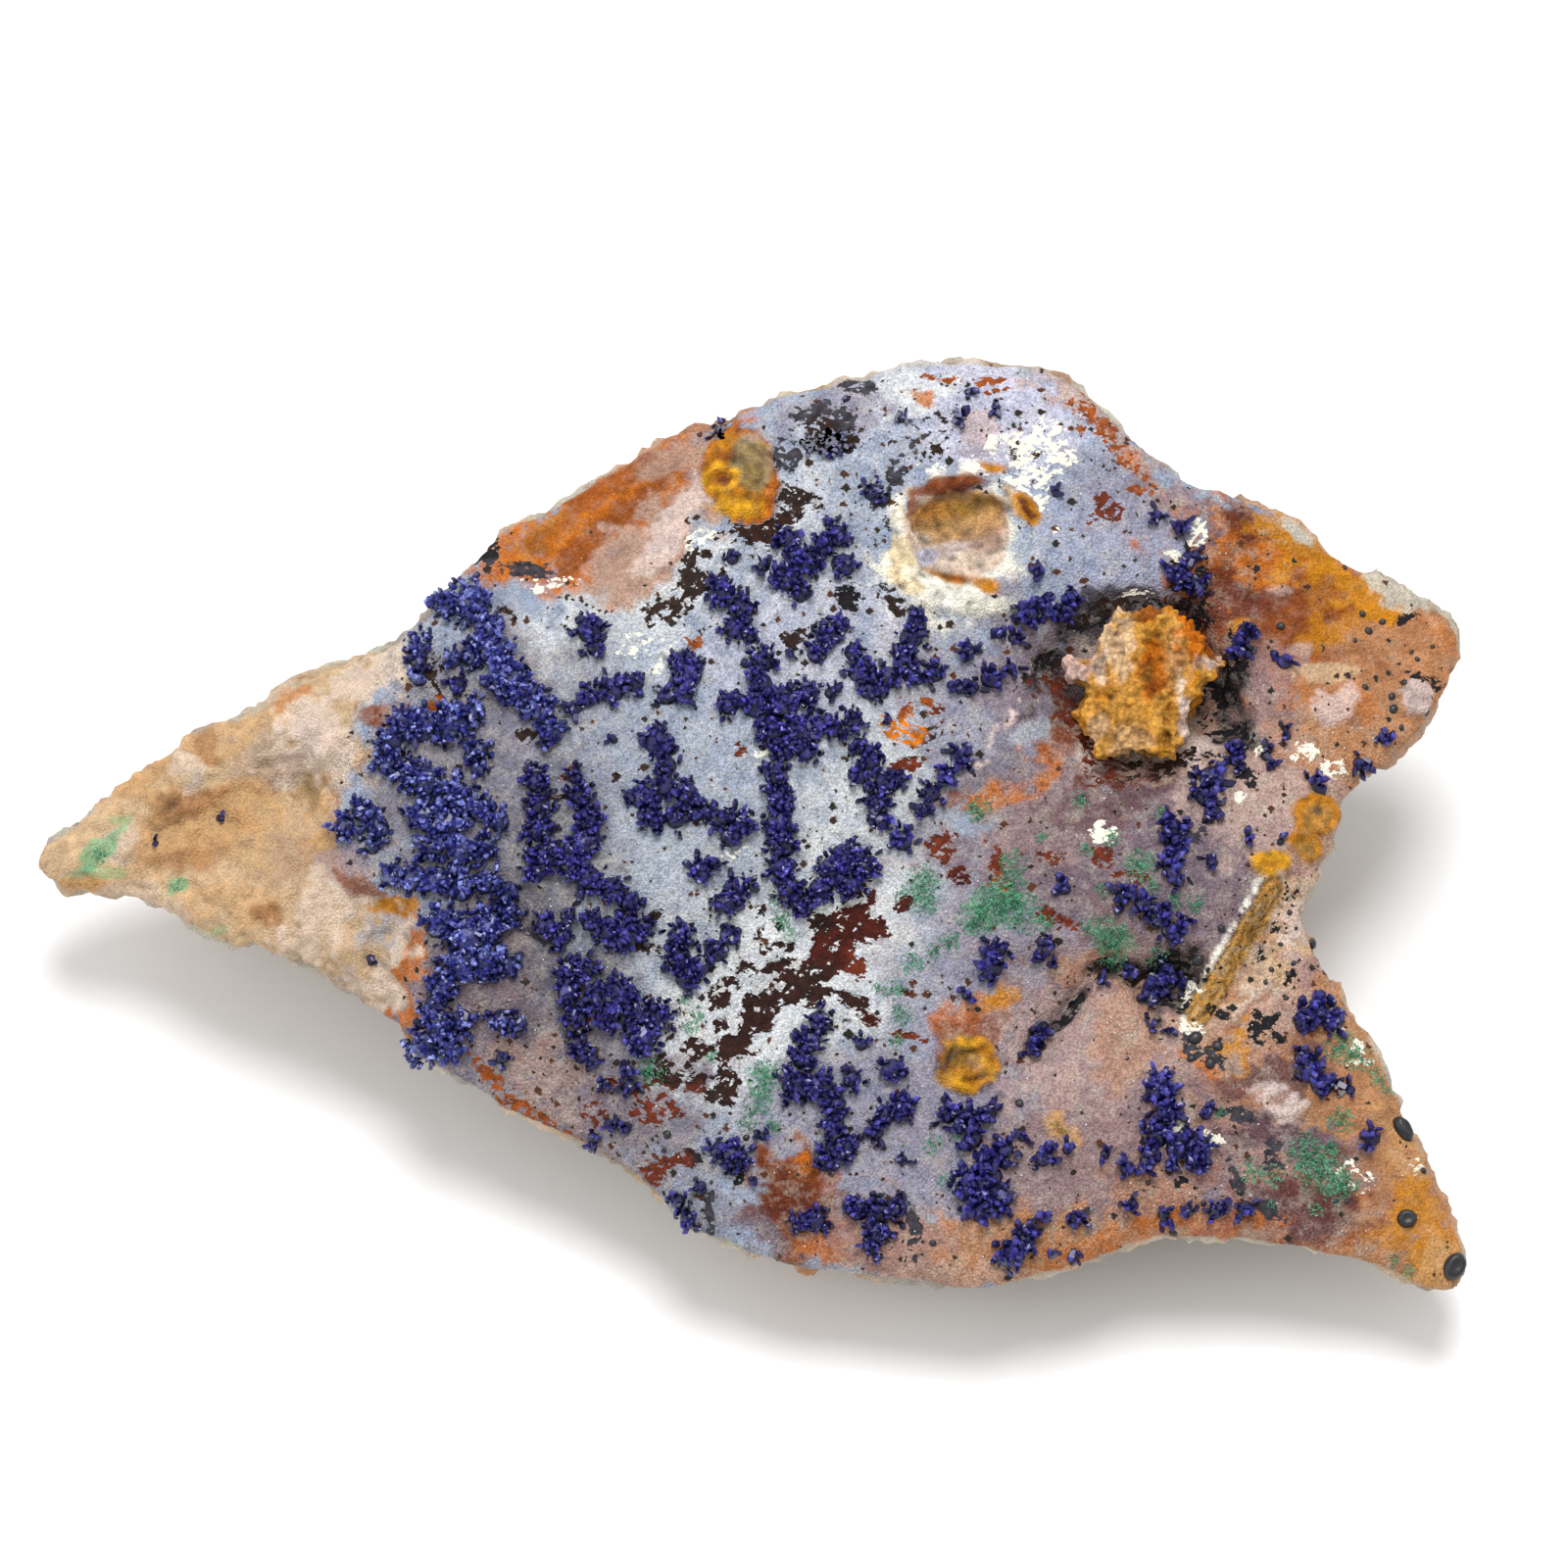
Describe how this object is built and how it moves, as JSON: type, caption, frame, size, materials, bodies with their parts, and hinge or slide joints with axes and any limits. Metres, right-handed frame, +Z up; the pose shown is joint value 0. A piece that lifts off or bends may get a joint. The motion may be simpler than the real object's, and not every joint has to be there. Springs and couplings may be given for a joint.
{
  "type": "azurite mineral specimen",
  "caption": "Irregular slab of iron-stained quartz rock with dark blue azurite crystal clusters, green malachite tufts and a spongy yellow-brown limonite block on its broad face.",
  "frame": {"origin": "centre of the bounding box in plan, on the plane of the flat broken base", "axes": "+X towards the two horns, away from the tapering tail; +Y towards the high back edge; +Z up from the flat base"},
  "size_m": [0.0912, 0.0622, 0.0229],
  "materials": {
    "rock": "rough, with a fine sparkling crust",
    "limonite": "matt, spongy",
    "azurite": "glassy crystal faces",
    "malachite": "silky needles",
    "manganese_oxide": "dull metallic black"
  },
  "bodies": {
    "root": {"azurite_cluster_01": "azurite", "azurite_cluster_02": "azurite", "azurite_cluster_03": "azurite", "azurite_cluster_04": "azurite", "azurite_cluster_05": "azurite", "azurite_cluster_06": "azurite", "azurite_cluster_07": "azurite", "azurite_cluster_08": "azurite", "azurite_cluster_09": "azurite", "azurite_cluster_10": "azurite", "azurite_cluster_11": "azurite", "azurite_cluster_12": "azurite", "azurite_cluster_13": "azurite", "azurite_cluster_14": "azurite", "azurite_cluster_15": "azurite", "azurite_cluster_16": "azurite", "azurite_cluster_17": "azurite", "azurite_cluster_18": "azurite", "azurite_cluster_19": "azurite", "azurite_cluster_20": "azurite", "azurite_cluster_21": "azurite", "azurite_cluster_22": "azurite", "azurite_cluster_23": "azurite", "azurite_cluster_24": "azurite", "azurite_cluster_25": "azurite", "azurite_cluster_26": "azurite", "azurite_cluster_27": "azurite", "azurite_cluster_28": "azurite", "azurite_cluster_29": "azurite", "azurite_cluster_30": "azurite", "azurite_cluster_31": "azurite", "azurite_cluster_32": "azurite", "azurite_cluster_33": "azurite", "azurite_cluster_34": "azurite", "azurite_cluster_35": "azurite", "azurite_cluster_36": "azurite", "azurite_cluster_37": "azurite", "azurite_cluster_38": "azurite", "azurite_cluster_39": "azurite", "azurite_cluster_40": "azurite", "azurite_cluster_41": "azurite", "azurite_cluster_42": "azurite", "azurite_cluster_43": "azurite", "azurite_cluster_44": "azurite", "azurite_cluster_45": "azurite", "azurite_cluster_46": "azurite", "azurite_cluster_47": "azurite", "azurite_cluster_48": "azurite", "azurite_cluster_49": "azurite", "azurite_cluster_50": "azurite", "limonite_block": "limonite", "malachite_tuft_01": "malachite", "malachite_tuft_02": "malachite", "malachite_tuft_03": "malachite", "malachite_tuft_04": "malachite", "malachite_tuft_05": "malachite", "manganese_bead_edge": "manganese_oxide", "manganese_bead_horn": "manganese_oxide", "manganese_bead_tip": "manganese_oxide", "matrix": "rock"}
  },
  "joints": []
}
